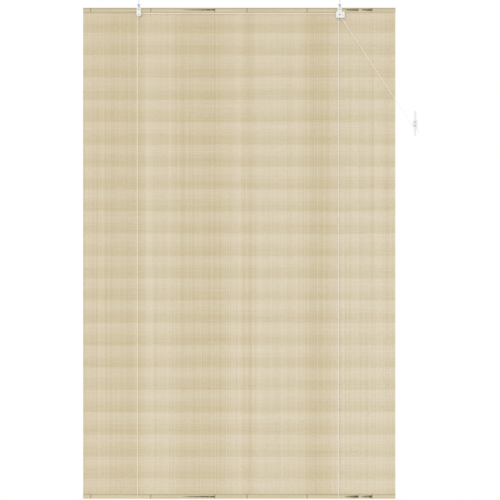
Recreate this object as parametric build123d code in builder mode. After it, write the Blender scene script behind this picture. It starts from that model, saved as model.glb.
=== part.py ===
from build123d import *

import os
from math import cos, radians, sin

# A bamboo roll-up blind, let down to its full length, with its two ceiling hooks,
# its cords and the cleat that the pull cord is belayed on.
# The ceiling is the plane z = 0, the hooks stand on the line y = 0, and the room is on the -y side.

# Overall sizes of the lowered blind
blind_width = 1400.0
blind_drop = 2200.0
hook_spacing = 900.0
hang_drop = 15.0
overrun = 2.0

# Bamboo mat: level slats, every second one further forward, with an open gap after every eighth
slat_pitch = 6.25
slat_thickness = 1.6
slat_step = 0.5
slat_gap = 0.8
slats_per_gap = 8
selvage = 12.0

# Battens: split bamboo strips that clamp the mat at its head and its foot
batten_height = 19.0
batten_thickness = 5.0
batten_crown = 0.6
batten_edge_radius = 1.5
knuckle_width = 4.0
knuckle_height = 0.4
front_knuckle_shares = (0.025, 0.217, 0.422, 0.525, 0.717, 0.925)
rear_knuckle_shares = (0.09, 0.31, 0.47, 0.68, 0.88)

# Staples that hold the battens and the cord ends from behind
staple_wire = 1.2
staple_crown = 10.0
staple_leg = 9.0
batten_staple_shares = (0.03, 0.25, 0.5, 0.75, 0.97)
cord_staple_leg = 4.0
cord_staple_drop = 13.0

# Cords and their knots
cord_diameter = 2.5
cord_sides = 5
cord_clearance = 0.3
foot_bend_radius = 4.0
knot_diameter = 6.4
knot_length = 7.0
knot_chamfer = 0.8
rear_knot_drop = 2.0

# Pulley wheels, their axles and the fits round them
cord_wrap_radius = 5.5
wrap_relief = 0.1
flange_radius = 6.8
flange_thickness = 0.95
axle_radius = 1.5
axle_drop = 31.0
axle_stand_out = 0.5
running_clearance = 0.05
side_clearance = 0.3

# Pulley housing on the left and lock housing on the right
cheek = 2.0
side_wall = 1.4
edge_chamfer = 0.7
lug_inset = 0.7
lug_width = 19.0
lug_corner_radius = 2.0
hanger_pocket_depth = 14.8
left_body_width = 21.0
left_body_top_drop = 17.9
left_body_shoulder = 2.0
left_housing_height = 38.5
bridge_thickness = 4.0
lock_body_width = 39.0
lock_body_height = 27.0
lock_body_top_drop = 18.6
lock_body_shift = 3.15
lock_corner_radius = 3.5
lock_roof = 2.0
cross_port_height = 6.0
spacer_radius = 2.2
spacer_shift = 0.7
spacer_drop = 42.0
spacer_dimple_radius = 1.2
spacer_dimple_depth = 0.6

# Lock cam, which pinches both cords against the right wheel
cam_pivot_shift = 13.5
cam_pivot_drop = 33.0
cam_pin_radius = 1.3
cam_hub_radius = 3.6
cam_tip_radius = 6.4
cam_root_radius = 5.6
cam_teeth = 6
cam_first_angle = 168.0
cam_tooth_angle = 9.0
cam_root_share = 0.6

# Ceiling hooks and the screws that hang the blind in their eyes
thread_radius = 2.2
thread_length = 26.0
cup_radius = 9.5
cup_rim = 1.0
cup_depth = 6.4
cup_neck_radius = 2.6
hook_wire = 3.0
hook_wire_sides = 6
eye_radius = 6.0
eye_straight = 2.0
eye_opening_angle = 52.0
hanger_screw_radius = 1.75
hanger_screw_drop = 7.4
hanger_head_radius = 3.3
hanger_head_thickness = 1.6
hanger_screw_length = 21.0
hanger_clearance = 0.1

# Cleat on the wall or window frame, to the right of the blind
cleat_gap = 88.0
cleat_drop = 518.0
cleat_back_depth = 20.0
cleat_length = 112.0
cleat_throat = 13.8
horn_root_width = 10.5
horn_tip_width = 8.0
horn_root_thickness = 6.5
horn_tip_thickness = 4.5
horn_flare = 3.0
pedestal_width = 14.0
pedestal_height = 36.0
pedestal_shift = 2.0
pedestal_seat = 2.5
cleat_screw_spacing = 16.0
cleat_screw_radius = 1.75
cleat_shank_radius = 1.5
cleat_screw_head_radius = 3.2
cleat_screw_head_thickness = 1.8
cleat_screw_stand_out = 18.0
cleat_screw_seat = 0.1

# Pull cord: from the lock down to the cleat and once and a quarter round its pedestal
exit_drop = 42.0
exit_bend_radius = 12.0
tail_length = 10.0
exit_run = 8.0
wrap_slack = 2.5
wrap_layer = 3.4
tail_reach = 13.5
tail_bend_radius = 7.5

# Levels and depths that follow from the sizes above
cord_radius = cord_diameter / 2
batten_top_z = -hang_drop
batten_bottom_z = batten_top_z - batten_height
foot_bottom_z = batten_top_z - blind_drop
foot_top_z = foot_bottom_z + batten_height
hook_xs = (-hook_spacing / 2, hook_spacing / 2)
left_x, right_x = hook_xs

groove_width = cord_diameter + 2 * cord_clearance
groove_radius = cord_wrap_radius - cord_radius - cord_clearance
cord_spacing = cord_diameter + cord_clearance
wheel_slot = groove_width + 2 * flange_thickness + 2 * side_clearance
housing_back_y = wheel_slot / 2 + cheek
lug_front_y = -housing_back_y
lock_slot_front_y = -wheel_slot / 2 - cord_spacing
lock_front_y = lock_slot_front_y - cheek

mat_front_y = housing_back_y + batten_thickness
mat_thickness = slat_thickness + slat_step
mat_back_y = mat_front_y + mat_thickness
rear_batten_back_y = mat_back_y + batten_thickness
rear_cord_y = rear_batten_back_y + cord_clearance + cord_radius
foot_cord_y = housing_back_y - cord_clearance - cord_radius
foot_cord_z = foot_bottom_z - cord_clearance - cord_radius

axle_z = batten_top_z - axle_drop
cord_top_z = axle_z + cord_wrap_radius
housing_top_z = batten_top_z - lug_inset
hanger_screw_z = batten_top_z - hanger_screw_drop
hanger_pocket_z = housing_top_z - hanger_pocket_depth
pull_x = right_x + cord_wrap_radius

hanger_hole_radius = hanger_screw_radius + hanger_clearance
axle_hole_radius = axle_radius + running_clearance

# Bamboo mat: the slats' profile runs down the front in steps, and the back is level
slat_count = round(blind_drop / slat_pitch)
slat_rise = blind_drop / slat_count
mat_profile = []
for slat in range(slat_count):
    face_y = mat_front_y + slat_step * (slat % 2)
    mat_profile.append((face_y, batten_top_z - slat * slat_rise))
    mat_profile.append((face_y, batten_top_z - (slat + 1) * slat_rise))
mat_profile += [(mat_back_y, foot_bottom_z), (mat_back_y, batten_top_z)]

gap_levels = [batten_top_z - slat * slat_rise for slat in range(0, slat_count, slats_per_gap)]
open_levels = [z for z in gap_levels if foot_top_z + slat_rise < z < batten_bottom_z - slat_rise]

with BuildPart() as bamboo_mat:
    with BuildSketch(Plane.YZ.offset(-blind_width / 2)):
        with BuildLine():
            Polyline(*mat_profile, close=True)
        make_face()
    extrude(amount=blind_width)
    with Locations(*[(0, mat_back_y, level) for level in open_levels]):
        Box(blind_width - 2 * selvage, 2 * mat_thickness + overrun, slat_gap, mode=Mode.SUBTRACT)
bamboo_mat.part.label = "bamboo_mat"


def split_bamboo(flat_y, outward, top_z, knuckle_shares, label):
    # flat on the mat's side, gently round outside, with the raised knuckles of the cane
    crown_y = flat_y + outward * batten_thickness
    edge_y = crown_y - outward * batten_crown
    middle_z = top_z - batten_height / 2
    bottom_z = top_z - batten_height
    raised_y = crown_y + outward * knuckle_height
    with BuildPart() as strip:
        with BuildSketch(Plane.YZ.offset(-blind_width / 2)) as section:
            with BuildLine():
                ThreePointArc((edge_y, top_z), (crown_y, middle_z), (edge_y, bottom_z))
                Polyline((edge_y, bottom_z), (flat_y, bottom_z), (flat_y, top_z), (edge_y, top_z))
            make_face()
            outer_corners = [v for v in section.vertices() if abs(v.X - flat_y) > batten_edge_radius]
            fillet(outer_corners, radius=batten_edge_radius)
        extrude(amount=blind_width)
        for share in knuckle_shares:
            knuckle_x = share * blind_width - blind_width / 2 - knuckle_width / 2
            with BuildSketch(Plane.YZ.offset(knuckle_x)):
                with BuildLine():
                    ThreePointArc((edge_y, top_z - batten_edge_radius), (raised_y, middle_z),
                                  (edge_y, bottom_z + batten_edge_radius))
                    Line((edge_y, bottom_z + batten_edge_radius), (edge_y, top_z - batten_edge_radius))
                make_face()
            extrude(amount=knuckle_width)
    strip.part.label = label
    return strip


head_batten_front = split_bamboo(mat_front_y, -1, batten_top_z, front_knuckle_shares, "head_batten_front")
head_batten_rear = split_bamboo(mat_back_y, 1, batten_top_z, rear_knuckle_shares, "head_batten_rear")
foot_batten_front = split_bamboo(mat_front_y, -1, foot_top_z, front_knuckle_shares, "foot_batten_front")
foot_batten_rear = split_bamboo(mat_back_y, 1, foot_top_z, rear_knuckle_shares, "foot_batten_rear")


def staple(plane, crown, leg, label):
    # a square wire bent to a U, its crown on the plane's far side
    with BuildPart() as bent:
        with BuildSketch(plane):
            with BuildLine():
                Polyline((-crown / 2, -leg), (-crown / 2, staple_wire), (crown / 2, staple_wire),
                         (crown / 2, -leg), (crown / 2 - staple_wire, -leg), (crown / 2 - staple_wire, 0),
                         (-crown / 2 + staple_wire, 0), (-crown / 2 + staple_wire, -leg), close=True)
            make_face()
        extrude(amount=staple_wire / 2, both=True)
    bent.part.label = label
    return bent


# Staples through each pair of battens and the mat between them
batten_staple = staple(Plane.XY.offset(batten_top_z - batten_height / 2), staple_crown, staple_leg, "staple")
with BuildPart() as batten_staples:
    for share in batten_staple_shares:
        for level in (0, batten_height - blind_drop):
            with Locations((share * blind_width - blind_width / 2, rear_batten_back_y, level)):
                add(batten_staple.part)
batten_staples.part.label = "batten_staples"

# Staples over the cords' rear ends
cord_staple_z = batten_top_z - cord_staple_drop
cord_staple_crown = cord_diameter + 2 * cord_clearance + 2 * staple_wire
cord_staple_y = rear_cord_y + cord_radius + running_clearance
cord_staple_drive = cord_staple_leg + cord_staple_y - rear_batten_back_y
rear_staple = staple(Plane.XY.offset(cord_staple_z), cord_staple_crown, cord_staple_drive, "staple")
with BuildPart() as cord_staples:
    with Locations(*[(x - cord_wrap_radius, cord_staple_y, 0) for x in hook_xs]):
        add(rear_staple.part)
cord_staples.part.label = "cord_staples"

# Ceiling hooks: a screw thread, a cup that stops at the ceiling and an eye with a narrow mouth
eye_bottom_z = hanger_screw_z - hanger_screw_radius - running_clearance - hook_wire / 2 + eye_radius
eye_top_z = eye_bottom_z + eye_straight
neck_bottom_z = eye_top_z + eye_radius
with BuildPart() as screw_hook:
    with BuildSketch(Plane.XZ):
        with BuildLine():
            Polyline((0, thread_length), (thread_radius, thread_length), (thread_radius, 0), (cup_radius, 0),
                     (cup_radius, -cup_rim), (cup_neck_radius, -cup_depth),
                     (cup_neck_radius, neck_bottom_z), (0, neck_bottom_z), close=True)
        make_face()
    revolve(axis=Axis.Z)
    with BuildLine(Plane.XZ) as eye_path:
        CenterArc((0, eye_top_z), eye_radius, 90, -90)
        Line((eye_radius, eye_top_z), (eye_radius, eye_bottom_z))
        CenterArc((0, eye_bottom_z), eye_radius, 0, -180)
        Line((-eye_radius, eye_bottom_z), (-eye_radius, eye_top_z))
        CenterArc((0, eye_top_z), eye_radius, 180, eye_opening_angle - 90)
    with BuildSketch(Plane(origin=eye_path.line @ 0, z_dir=eye_path.line % 0)):
        RegularPolygon(radius=hook_wire / 2, side_count=hook_wire_sides)
    sweep(path=eye_path.line)
with BuildPart() as screw_hooks:
    with Locations(*[(x, 0, 0) for x in hook_xs]):
        add(screw_hook.part)
screw_hooks.part.label = "screw_hooks"

# Screws that hang in the eyes and bite into the head battens
screw_axis_plane = Plane(origin=(0, lug_front_y, hanger_screw_z), x_dir=(1, 0, 0), z_dir=(0, 1, 0))
with BuildPart() as hanger_screw:
    with BuildSketch(screw_axis_plane):
        Circle(hanger_screw_radius)
    extrude(amount=hanger_screw_length)
    with BuildSketch(screw_axis_plane):
        Circle(hanger_head_radius)
    extrude(amount=-hanger_head_thickness)
with BuildPart() as hanger_screws:
    with Locations(*[(x, 0, 0) for x in hook_xs]):
        add(hanger_screw.part)
hanger_screws.part.label = "hanger_screws"

# Pulley housing: a pocket for the hook above, a bridge, and a fork for the wheel below
left_bottom_z = housing_top_z - left_housing_height
left_round_z = left_bottom_z + left_body_width / 2
left_shoulder_z = batten_top_z - left_body_top_drop
fork_top_z = hanger_pocket_z - bridge_thickness
with BuildPart() as left_pulley_housing:
    with BuildSketch(Plane(origin=(left_x, housing_back_y, 0), x_dir=(1, 0, 0), z_dir=(0, -1, 0))) as face:
        with BuildLine():
            Polyline((-left_body_width / 2, left_round_z), (-left_body_width / 2, left_shoulder_z),
                     (-lug_width / 2, left_shoulder_z + left_body_shoulder), (-lug_width / 2, housing_top_z),
                     (lug_width / 2, housing_top_z), (lug_width / 2, left_shoulder_z + left_body_shoulder),
                     (left_body_width / 2, left_shoulder_z), (left_body_width / 2, left_round_z))
            ThreePointArc((left_body_width / 2, left_round_z), (0, left_bottom_z),
                          (-left_body_width / 2, left_round_z))
        make_face()
        fillet(face.vertices().group_by(Axis.Y)[-1], radius=lug_corner_radius)
    extrude(amount=2 * housing_back_y)
    chamfer(left_pulley_housing.faces().sort_by(Axis.Y)[0].edges(), length=edge_chamfer)
    with Locations((left_x, 0, housing_top_z)):
        Box(lug_width - 2 * side_wall, wheel_slot, 2 * hanger_pocket_depth, mode=Mode.SUBTRACT)
    fork_height = fork_top_z - left_bottom_z + overrun
    with Locations((left_x + side_wall, 0, fork_top_z)):
        Box(left_body_width, wheel_slot, fork_height, mode=Mode.SUBTRACT,
            align=(Align.CENTER, Align.CENTER, Align.MAX))
    with BuildSketch(Plane(origin=(left_x, housing_back_y, 0), x_dir=(1, 0, 0), z_dir=(0, -1, 0))):
        with Locations((0, hanger_screw_z)):
            Circle(hanger_hole_radius)
        with Locations((0, axle_z)):
            Circle(axle_hole_radius)
    extrude(amount=2 * housing_back_y, mode=Mode.SUBTRACT)
left_pulley_housing.part.label = "left_pulley_housing"

# Lock housing: the same lug on a wider box that is open below, with a port for the cross cord
lock_top_z = batten_top_z - lock_body_top_drop
lock_bottom_z = lock_top_z - lock_body_height
lock_x = right_x + lock_body_shift
lock_middle_z = (lock_top_z + lock_bottom_z) / 2
lock_depth = housing_back_y - lock_front_y
lock_slot = wheel_slot + cord_spacing
spacer_z = batten_top_z - spacer_drop
spacer_x = right_x - spacer_shift
cam_x = right_x + cam_pivot_shift
cam_z = batten_top_z - cam_pivot_drop
cam_hole_radius = cam_pin_radius + running_clearance
lock_cavity_top_z = lock_top_z - lock_roof
lock_cavity_height = lock_cavity_top_z - lock_bottom_z + overrun
lock_back_plane = Plane(origin=(0, housing_back_y, 0), x_dir=(1, 0, 0), z_dir=(0, -1, 0))
lock_slot_plane = Plane(origin=(0, wheel_slot / 2, 0), x_dir=(1, 0, 0), z_dir=(0, -1, 0))
with BuildPart() as right_lock_housing:
    with BuildSketch(lock_back_plane):
        with Locations((lock_x, lock_middle_z)):
            RectangleRounded(lock_body_width, lock_body_height, lock_corner_radius)
    extrude(amount=lock_depth)
    chamfer(right_lock_housing.faces().sort_by(Axis.Y)[0].edges(), length=edge_chamfer)
    with BuildSketch(lock_back_plane) as lug:
        with Locations((right_x, (housing_top_z + lock_cavity_top_z) / 2)):
            Rectangle(lug_width, housing_top_z - lock_cavity_top_z)
        fillet(lug.vertices().group_by(Axis.Y)[-1], radius=lug_corner_radius)
    extrude(amount=2 * housing_back_y)
    with Locations((right_x, 0, housing_top_z)):
        Box(lug_width - 2 * side_wall, wheel_slot, 2 * hanger_pocket_depth, mode=Mode.SUBTRACT)
    with BuildSketch(lock_slot_plane):
        with Locations((lock_x, lock_cavity_top_z - lock_cavity_height / 2)):
            Rectangle(lock_body_width - 2 * side_wall, lock_cavity_height)
        with Locations((spacer_x, spacer_z)):
            Circle(spacer_radius, mode=Mode.SUBTRACT)
    extrude(amount=lock_slot, mode=Mode.SUBTRACT)
    with Locations((lock_x - lock_body_width / 2, wheel_slot / 2 - lock_slot / 2, cord_top_z)):
        Box(4 * side_wall, lock_slot, cross_port_height, mode=Mode.SUBTRACT)
    with BuildSketch(lock_back_plane):
        with Locations((right_x, hanger_screw_z)):
            Circle(hanger_hole_radius)
        with Locations((right_x, axle_z)):
            Circle(axle_hole_radius)
        with Locations((cam_x, cam_z)):
            Circle(cam_hole_radius)
    extrude(amount=lock_depth, mode=Mode.SUBTRACT)
    with BuildSketch(lock_back_plane.offset(lock_depth)):
        with Locations((spacer_x, spacer_z)):
            Circle(spacer_dimple_radius)
    extrude(amount=-spacer_dimple_depth, mode=Mode.SUBTRACT)
right_lock_housing.part.label = "right_lock_housing"


def pulley_wheel(x, front_cord_y, label):
    # one level groove between two thin flanges, wide enough for the cords from y = 0 forward
    rear_y = groove_width / 2
    front_y = front_cord_y - groove_width / 2
    with BuildPart() as wheel:
        with BuildSketch(Plane(origin=(x, 0, axle_z), x_dir=(1, 0, 0), z_dir=(0, 0, 1))):
            with BuildLine():
                Polyline((axle_hole_radius, rear_y + flange_thickness),
                         (flange_radius, rear_y + flange_thickness), (flange_radius, rear_y),
                         (groove_radius, rear_y), (groove_radius, front_y), (flange_radius, front_y),
                         (flange_radius, front_y - flange_thickness),
                         (axle_hole_radius, front_y - flange_thickness), close=True)
            make_face()
        revolve(axis=Axis((x, 0, axle_z), (0, 1, 0)))
    wheel.part.label = label
    return wheel


left_pulley_wheel = pulley_wheel(left_x, 0, "left_pulley_wheel")
right_pulley_wheel = pulley_wheel(right_x, -cord_spacing, "right_pulley_wheel")


def cross_pin(x, z, front_y, radius, label):
    # a smooth pin across both cheeks, whose end stands a little out of the front one
    with BuildPart() as pin:
        with BuildSketch(Plane(origin=(x, front_y - axle_stand_out, z), x_dir=(1, 0, 0), z_dir=(0, 1, 0))):
            Circle(radius)
        extrude(amount=housing_back_y - front_y + axle_stand_out)
    pin.part.label = label
    return pin


left_axle_pin = cross_pin(left_x, axle_z, lug_front_y, axle_radius, "left_axle_pin")
right_axle_pin = cross_pin(right_x, axle_z, lock_front_y, axle_radius, "right_axle_pin")
cam_pivot_pin = cross_pin(cam_x, cam_z, lock_front_y, cam_pin_radius, "cam_pivot_pin")

# Lock cam: a hub with a toothed lobe that faces the cords
cam_edge = []
for tooth in range(cam_teeth):
    tip_angle = radians(cam_first_angle + tooth * cam_tooth_angle)
    root_angle = radians(cam_first_angle + (tooth + cam_root_share) * cam_tooth_angle)
    cam_edge.append((cam_tip_radius * cos(tip_angle), cam_tip_radius * sin(tip_angle)))
    cam_edge.append((cam_root_radius * cos(root_angle), cam_root_radius * sin(root_angle)))
cam_last_angle = radians(cam_first_angle + cam_teeth * cam_tooth_angle)
cam_edge.append((cam_tip_radius * cos(cam_last_angle), cam_tip_radius * sin(cam_last_angle)))
cam_edge.append((0, 0))
cam_plane = Plane(origin=(cam_x, wheel_slot / 2 - side_clearance, cam_z), x_dir=(1, 0, 0), z_dir=(0, -1, 0))
with BuildPart() as lock_cam:
    with BuildSketch(cam_plane):
        with BuildLine():
            Polyline(*cam_edge, close=True)
        make_face()
        Circle(cam_hub_radius)
        Circle(cam_hole_radius, mode=Mode.SUBTRACT)
    extrude(amount=lock_slot - 2 * side_clearance)
lock_cam.part.label = "lock_cam"


def cord_tube(points, radii, label):
    # a cord of plain section along straight runs and the arcs that join them
    with BuildPart() as cord:
        with BuildLine() as route:
            FilletPolyline(*points, radius=radii)
        with BuildSketch(Plane(origin=route.line @ 0, z_dir=route.line % 0)) as section:
            RegularPolygon(radius=cord_radius, side_count=cord_sides)
        sweep(path=route.line)
    cord.part.label = label
    length = sum(edge.length for edge in route.edges())
    filled = cord.part.volume / (section.sketch.area * length)
    print(label, "length", round(length, 1), "radii", [round(r, 2) for r in radii],
          "volume over section times length", round(filled, 5))
    return cord


def knot(start, direction, label):
    # a tied knot, drawn as a barrel along the cord
    with BuildPart() as barrel:
        with BuildSketch(Plane(origin=start, z_dir=direction)):
            RegularPolygon(radius=knot_diameter / 2, side_count=cord_sides)
        extrude(amount=knot_length)
        ends = barrel.faces().sort_by(Axis(start, direction))
        chamfer(ends[0].edges() + ends[-1].edges(), length=knot_chamfer)
    barrel.part.label = label
    return barrel


# The pull cord's line, from the lock's mouth to the foot of the cleat's pedestal
wrap_radius = cord_wrap_radius - wrap_relief
cleat_x = blind_width / 2 + cleat_gap
cleat_z = batten_top_z - cleat_drop
pedestal_z = cleat_z - pedestal_shift
pedestal_offset = cord_radius + cord_clearance
wrap_side = pedestal_width / 2 + pedestal_offset
wrap_end = pedestal_height / 2 + pedestal_offset
cleat_bend_radius = wrap_side - wrap_relief
throat_y = cleat_back_depth - cleat_throat
outer_layer_y = throat_y + pedestal_offset
inner_layer_y = outer_layer_y + wrap_layer
exit_z = batten_top_z - exit_drop
exit_middle_y = -cord_spacing / 2
exit_point = Vector(pull_x, exit_middle_y, exit_z)
belay_point = Vector(cleat_x - wrap_side / 2, inner_layer_y, pedestal_z - wrap_end)
pull_direction = (belay_point - exit_point).normalized()
knot_start = exit_point + pull_direction * exit_run
knot_finish = knot_start + pull_direction * knot_length

# Both lift cords: knotted behind the head, down the back, round the foot, up the front and over the wheels
rear_knot_top_z = batten_top_z - rear_knot_drop
rear_end_z = rear_knot_top_z - knot_length
rear_knot_y = rear_batten_back_y + cord_clearance + knot_diameter / 2
twin_direction = (Vector(0, 1, 0) - pull_direction * pull_direction.Y).normalized()


def lift_points(x, front_y):
    run_x = x - cord_wrap_radius
    return [(run_x, rear_cord_y, rear_end_z), (run_x, rear_cord_y, foot_cord_z),
            (run_x, foot_cord_y, foot_cord_z), (run_x, front_y, cord_top_z)]


def exit_points(side, cord_y):
    # down from the wheel and out of the lock, beside its twin, to the knot that joins the two
    apart = twin_direction * (side * cord_spacing / 2)
    return [(pull_x, cord_y, cord_top_z), exit_point + apart, knot_start + apart]


left_lift_cord = cord_tube(lift_points(left_x, 0) + exit_points(-1, -cord_spacing),
                           [foot_bend_radius, foot_bend_radius, wrap_radius, wrap_radius, exit_bend_radius],
                           "left_lift_cord")
right_lift_cord = cord_tube(lift_points(right_x, 0) + exit_points(1, 0),
                            [foot_bend_radius, foot_bend_radius, wrap_radius, wrap_radius, exit_bend_radius],
                            "right_lift_cord")

# Knots: one that joins both lift cords to the pull cord, and one on each rear end
joining_knot = knot(knot_start, pull_direction, "joining_knot")
with BuildPart() as cord_end_knots:
    for x in hook_xs:
        rear_end = Vector(x - cord_wrap_radius, rear_knot_y, rear_end_z)
        add(knot(rear_end, Vector(0, 0, 1), "knot").part)
cord_end_knots.part.label = "cord_end_knots"

# Pull cord: a taut run to the cleat, once and a quarter round the pedestal, and a short tail
right_wrap_x = cleat_x + wrap_side + wrap_slack
left_wrap_x = cleat_x - wrap_side
foot_wrap_z = pedestal_z - wrap_end
head_wrap_z = pedestal_z + wrap_end
layer_step = wrap_layer / 4
tail_x = cleat_x + tail_reach
tail_turn_z = foot_wrap_z - cord_radius
pull_points = [
    knot_finish,
    belay_point,
    (right_wrap_x, inner_layer_y, foot_wrap_z),
    (right_wrap_x, inner_layer_y - layer_step, head_wrap_z),
    (left_wrap_x, inner_layer_y - 3 * layer_step, head_wrap_z),
    (left_wrap_x, outer_layer_y, foot_wrap_z),
    (tail_x, outer_layer_y, tail_turn_z),
    (tail_x + cord_radius, outer_layer_y, tail_turn_z - tail_length),
]
pull_cord = cord_tube(pull_points, [cleat_bend_radius] * 5 + [tail_bend_radius], "pull_cord")
tail_end = Vector(*pull_points[-1])
tail_direction = (tail_end - Vector(*pull_points[-2])).normalized()
tail_knot = knot(tail_end, tail_direction, "tail_knot")

# Cleat: a pedestal on the wall that carries two horns, one up and one down
horn_front_y = throat_y - horn_root_thickness
tip_back_y = throat_y - horn_flare
tip_front_y = tip_back_y - horn_tip_thickness
cleat_top_z = cleat_z + cleat_length / 2
cleat_bottom_z = cleat_z - cleat_length / 2
pedestal_top_z = pedestal_z + pedestal_height / 2
pedestal_bottom_z = pedestal_z - pedestal_height / 2
cleat_back_plane = Plane(origin=(cleat_x, cleat_back_depth, cleat_z), x_dir=(1, 0, 0), z_dir=(0, -1, 0))
with BuildPart() as cord_cleat:
    with BuildSketch(Plane.YZ.offset(cleat_x - horn_root_width / 2)):
        with BuildLine():
            Polyline((tip_front_y, cleat_top_z), (tip_back_y, cleat_top_z), (throat_y, pedestal_top_z),
                     (throat_y, pedestal_bottom_z), (tip_back_y, cleat_bottom_z),
                     (tip_front_y, cleat_bottom_z))
            ThreePointArc((tip_front_y, cleat_bottom_z), (horn_front_y, cleat_z), (tip_front_y, cleat_top_z))
        make_face()
    extrude(amount=horn_root_width)
    with BuildSketch(cleat_back_plane):
        Circle(horn_root_width / 2)
        for tip_z in (cleat_length / 2 - horn_tip_width / 2, horn_tip_width / 2 - cleat_length / 2):
            with Locations((0, tip_z)):
                Circle(horn_tip_width / 2)
        make_hull()
    extrude(amount=cleat_back_depth - tip_front_y, mode=Mode.INTERSECT)
    with BuildSketch(cleat_back_plane):
        with Locations((0, -pedestal_shift)):
            SlotOverall(pedestal_height, pedestal_width, rotation=90)
    extrude(amount=cleat_throat + pedestal_seat)
    with BuildSketch(cleat_back_plane):
        for level in (-cleat_screw_spacing / 2, cleat_screw_spacing / 2):
            with Locations((0, level - pedestal_shift)):
                Circle(cleat_screw_radius + hanger_clearance)
    extrude(amount=cleat_back_depth - tip_front_y, mode=Mode.SUBTRACT)
cord_cleat.part.label = "cord_cleat"

# Screws that fasten the cleat and stand out behind it
screw_seat_y = horn_front_y - cleat_screw_seat
with BuildPart() as cleat_screws:
    for level in (pedestal_z - cleat_screw_spacing / 2, pedestal_z + cleat_screw_spacing / 2):
        seat_plane = Plane(origin=(cleat_x, screw_seat_y, level), x_dir=(1, 0, 0), z_dir=(0, 1, 0))
        with BuildSketch(seat_plane.offset(cleat_back_depth - screw_seat_y)):
            Circle(cleat_screw_radius)
        extrude(amount=cleat_screw_stand_out)
        with BuildSketch(seat_plane):
            Circle(cleat_shank_radius)
        extrude(amount=cleat_back_depth - screw_seat_y)
        with BuildSketch(seat_plane):
            Circle(cleat_screw_head_radius)
        extrude(amount=-cleat_screw_head_thickness)
cleat_screws.part.label = "cleat_screws"

pieces = [
    bamboo_mat, head_batten_front, head_batten_rear, foot_batten_front, foot_batten_rear,
    batten_staples, cord_staples, screw_hooks, hanger_screws, left_pulley_housing, left_pulley_wheel,
    left_axle_pin, right_lock_housing, right_pulley_wheel, right_axle_pin, lock_cam, cam_pivot_pin,
    left_lift_cord, right_lift_cord, cord_end_knots, joining_knot, pull_cord, tail_knot,
    cord_cleat, cleat_screws,
]

os.makedirs("parts", exist_ok=True)
for piece in pieces:
    export_step(piece.part, f"parts/{piece.part.label}.step")
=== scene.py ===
import math
import random

import bmesh
import bpy
from mathutils import Matrix, Vector


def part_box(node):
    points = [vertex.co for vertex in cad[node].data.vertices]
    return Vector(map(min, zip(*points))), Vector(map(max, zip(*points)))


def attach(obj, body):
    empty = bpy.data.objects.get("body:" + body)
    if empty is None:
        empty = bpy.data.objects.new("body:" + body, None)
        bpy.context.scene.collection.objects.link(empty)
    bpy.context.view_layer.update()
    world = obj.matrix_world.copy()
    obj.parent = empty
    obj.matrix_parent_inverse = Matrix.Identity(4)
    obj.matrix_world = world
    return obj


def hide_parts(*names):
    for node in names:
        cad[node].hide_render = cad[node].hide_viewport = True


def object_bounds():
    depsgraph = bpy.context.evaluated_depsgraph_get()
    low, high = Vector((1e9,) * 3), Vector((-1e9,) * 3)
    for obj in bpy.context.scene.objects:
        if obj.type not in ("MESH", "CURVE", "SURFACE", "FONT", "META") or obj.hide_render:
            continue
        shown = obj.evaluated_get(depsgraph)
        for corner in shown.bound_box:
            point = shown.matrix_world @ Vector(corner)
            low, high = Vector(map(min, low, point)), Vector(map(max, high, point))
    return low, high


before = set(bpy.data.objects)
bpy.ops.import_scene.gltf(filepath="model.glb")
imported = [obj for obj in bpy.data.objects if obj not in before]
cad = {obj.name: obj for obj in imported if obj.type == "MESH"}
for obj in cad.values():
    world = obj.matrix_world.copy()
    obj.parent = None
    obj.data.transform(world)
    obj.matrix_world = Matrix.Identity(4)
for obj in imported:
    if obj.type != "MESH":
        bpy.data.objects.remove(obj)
cadLow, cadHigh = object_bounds()
carrier = "hung_blind"  # everything rides on it but the wheels and the cam
mm = 0.001
meshLimits = {"weld": 1e-6, "sliver": 2e-5, "flatAngle": 1, "near": 1e-4}  # metres and degrees
print("frame loaded:", len(cad), "nodes")


# small helpers for selecting, shaping and finishing

def deselectAll():
    if bpy.context.mode != "OBJECT":
        bpy.ops.object.mode_set(mode="OBJECT")
    bpy.ops.object.select_all(action="DESELECT")


def makeActive(piece):
    deselectAll()
    piece.select_set(True)
    bpy.context.view_layer.objects.active = piece


def nameActive(name):
    piece = bpy.context.active_object
    piece.name = name
    piece.data.name = name
    return piece


def settle(piece):
    # the place, turn and size go into the mesh
    makeActive(piece)
    bpy.ops.object.transform_apply(location=True, rotation=True, scale=True)


def editMode(piece, kind):
    makeActive(piece)
    bpy.ops.object.mode_set(mode="EDIT")
    bpy.ops.mesh.select_mode(type=kind)


def pick(piece, kind, test):
    # selects by a test on each corner, edge or face, in edit mode
    editMode(piece, kind)
    bpy.ops.mesh.select_all(action="DESELECT")
    mesh = bmesh.from_edit_mesh(piece.data)
    for part in {"VERT": mesh.verts, "EDGE": mesh.edges, "FACE": mesh.faces}[kind]:
        part.select_set(test(part))
    mesh.select_flush_mode()
    bmesh.update_edit_mesh(piece.data)


def useModifier(piece, kind, **settings):
    makeActive(piece)
    modifier = piece.modifiers.new(kind.lower(), kind)
    for key, value in settings.items():
        setattr(modifier, key, value)
    bpy.ops.object.modifier_apply(modifier=modifier.name)


def joinAll(name, parts):
    makeActive(parts[0])
    for part in parts:
        part.select_set(True)
    bpy.ops.object.join()
    return nameActive(name)


def copyPiece(piece, move):
    twin = piece.copy()
    twin.data = piece.data.copy()
    twin.data.transform(Matrix.Translation(move))
    bpy.context.scene.collection.objects.link(twin)
    return twin


def cleanNormals(piece):
    editMode(piece, "FACE")
    bpy.ops.mesh.select_all(action="SELECT")
    bpy.ops.mesh.remove_doubles(threshold=meshLimits["weld"])
    bpy.ops.mesh.normals_make_consistent(inside=False)
    deselectAll()


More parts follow.
